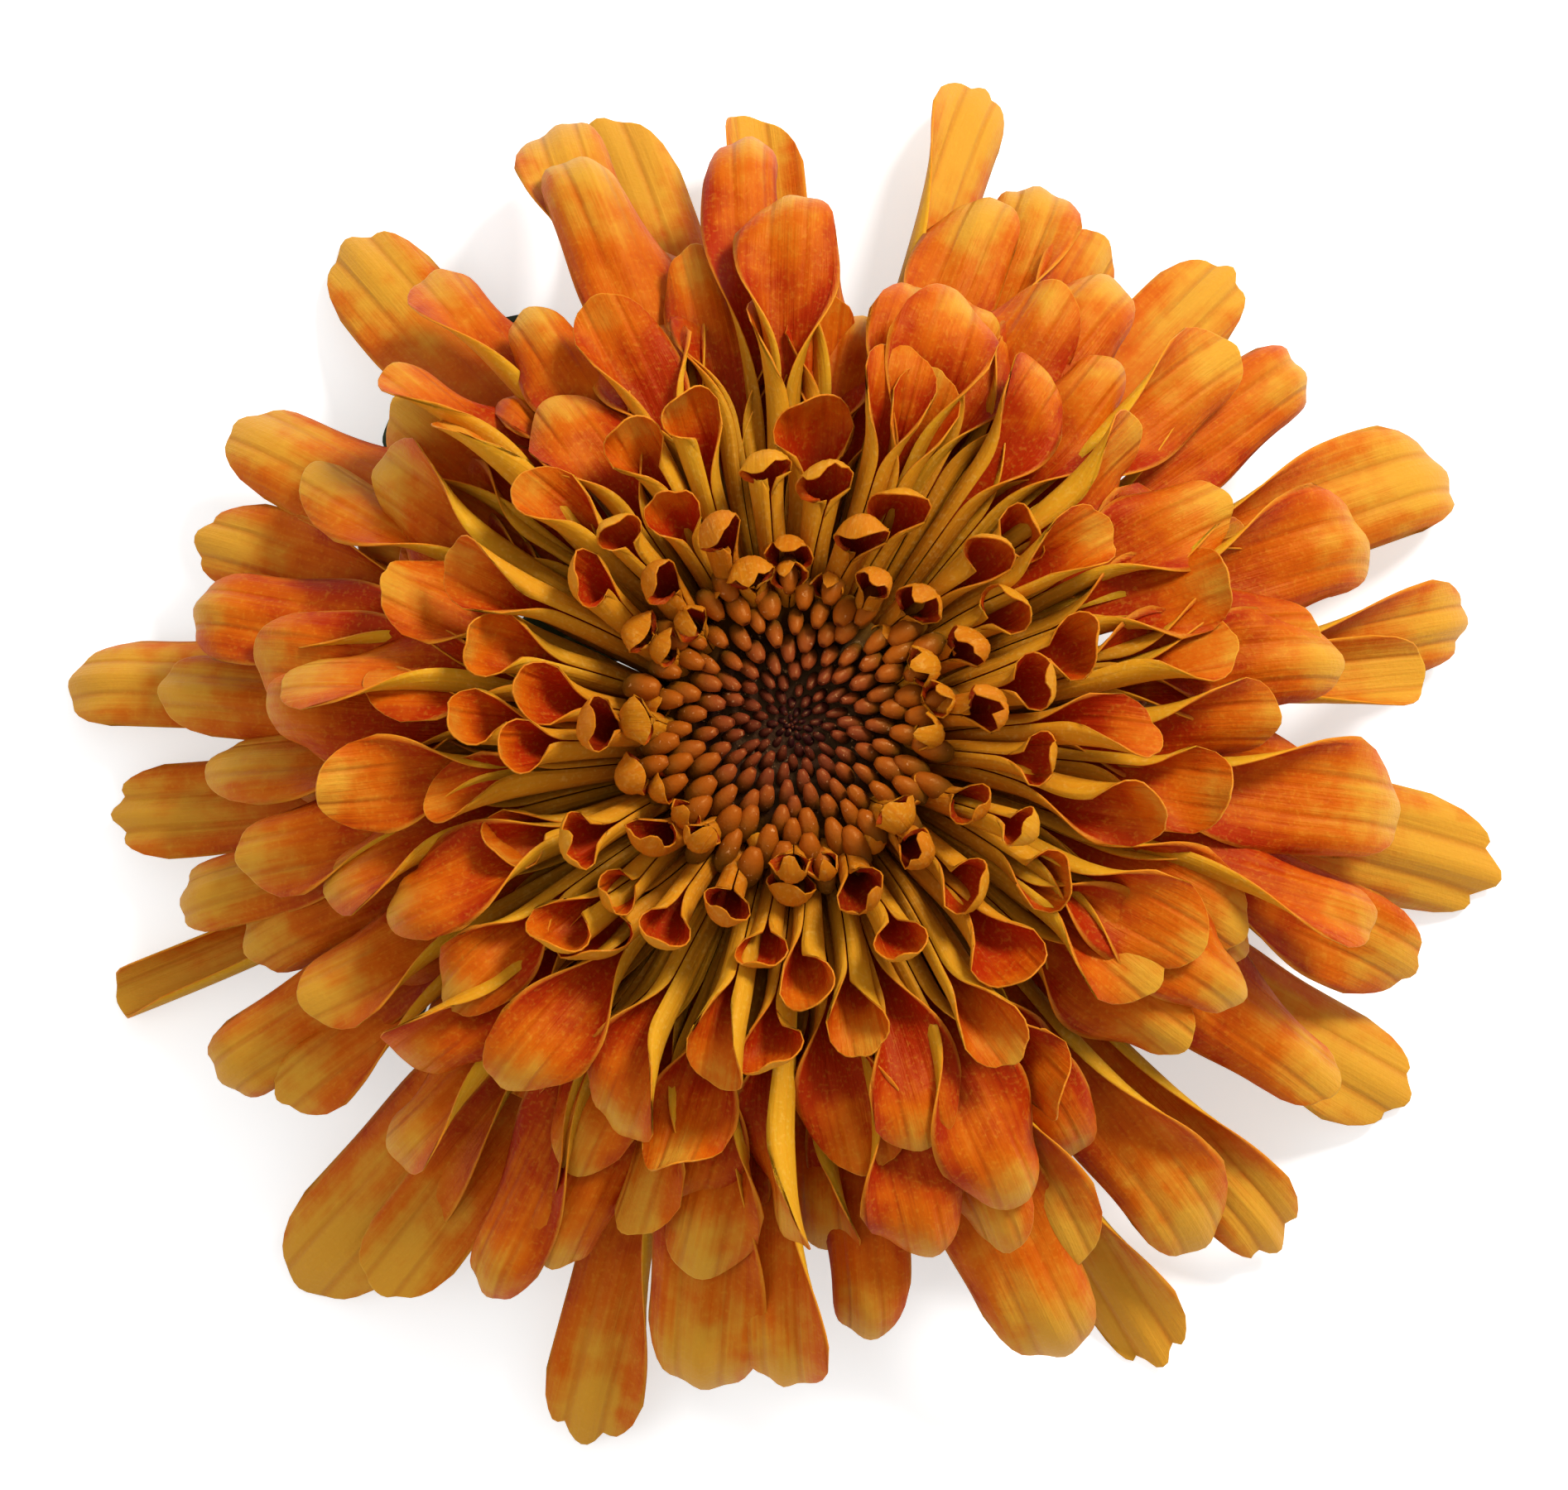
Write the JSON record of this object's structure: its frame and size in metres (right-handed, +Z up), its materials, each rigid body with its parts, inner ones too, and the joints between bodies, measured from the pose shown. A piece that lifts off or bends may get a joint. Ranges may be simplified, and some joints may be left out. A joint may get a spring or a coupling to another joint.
{
  "type": "disbud chrysanthemum bloom",
  "caption": "Large orange chrysanthemum bloom with rolled ray florets around a dark button of unopened florets, picked with a short stem and leaves, lying face up.",
  "frame": {"origin": "middle of the underside of the whole bloom's box, on the surface that the bloom lies on", "axes": "+Z up along the stem towards the open face of the bloom, +X to the right and +Y away from a viewer who looks down at the face"},
  "size_m": [0.1306, 0.125, 0.0397],
  "materials": {
    "outer_petal": "satin golden orange, streaked along the veins, paler on the back",
    "petal": "satin burnt orange to red, golden on the rolled back",
    "young_petal": "satin amber outside, red inside the hoods",
    "disc": "satin brown buds, nearly black at the sunken middle",
    "bract": "matte green scales with papery edges",
    "stem": "ribbed green stem, pale and moist at the cut",
    "leaf": "dark green, matte above and greyer below, with raised veins"
  },
  "bodies": {
    "root": {"guard_floret_01": "outer_petal", "guard_floret_02": "outer_petal", "guard_floret_03": "outer_petal", "guard_floret_04": "outer_petal", "guard_floret_05": "outer_petal", "guard_floret_06": "outer_petal", "guard_floret_07": "outer_petal", "guard_floret_08": "outer_petal", "guard_floret_09": "outer_petal", "guard_floret_10": "outer_petal", "guard_floret_11": "outer_petal", "guard_floret_12": "outer_petal", "guard_floret_13": "outer_petal", "guard_floret_14": "outer_petal", "guard_floret_15": "outer_petal", "outer_floret_01": "outer_petal", "outer_floret_02": "outer_petal", "outer_floret_03": "outer_petal", "outer_floret_04": "outer_petal", "outer_floret_05": "outer_petal", "outer_floret_06": "outer_petal", "outer_floret_07": "outer_petal", "outer_floret_08": "outer_petal", "outer_floret_09": "outer_petal", "outer_floret_10": "outer_petal", "outer_floret_11": "outer_petal", "outer_floret_12": "outer_petal", "outer_floret_13": "outer_petal", "outer_floret_14": "outer_petal", "outer_floret_15": "outer_petal", "back_floret_01": "petal", "back_floret_02": "petal", "back_floret_03": "petal", "back_floret_04": "petal", "back_floret_05": "petal", "back_floret_06": "petal", "back_floret_07": "petal", "back_floret_08": "petal", "back_floret_09": "petal", "back_floret_10": "petal", "back_floret_11": "petal", "back_floret_12": "petal", "back_floret_13": "petal", "back_floret_14": "petal", "back_floret_15": "petal", "whorl_1": "petal", "whorl_2": "petal", "whorl_3": "petal", "whorl_4": "petal", "whorl_5": "petal", "young_florets_outer": "young_petal", "young_florets_inner": "young_petal", "disc_florets": "disc", "stem_with_receptacle": "stem", "bracts_inner": "bract", "bracts_outer": "bract", "leaf_large": "leaf", "leaf_small": "leaf"}
  },
  "joints": []
}
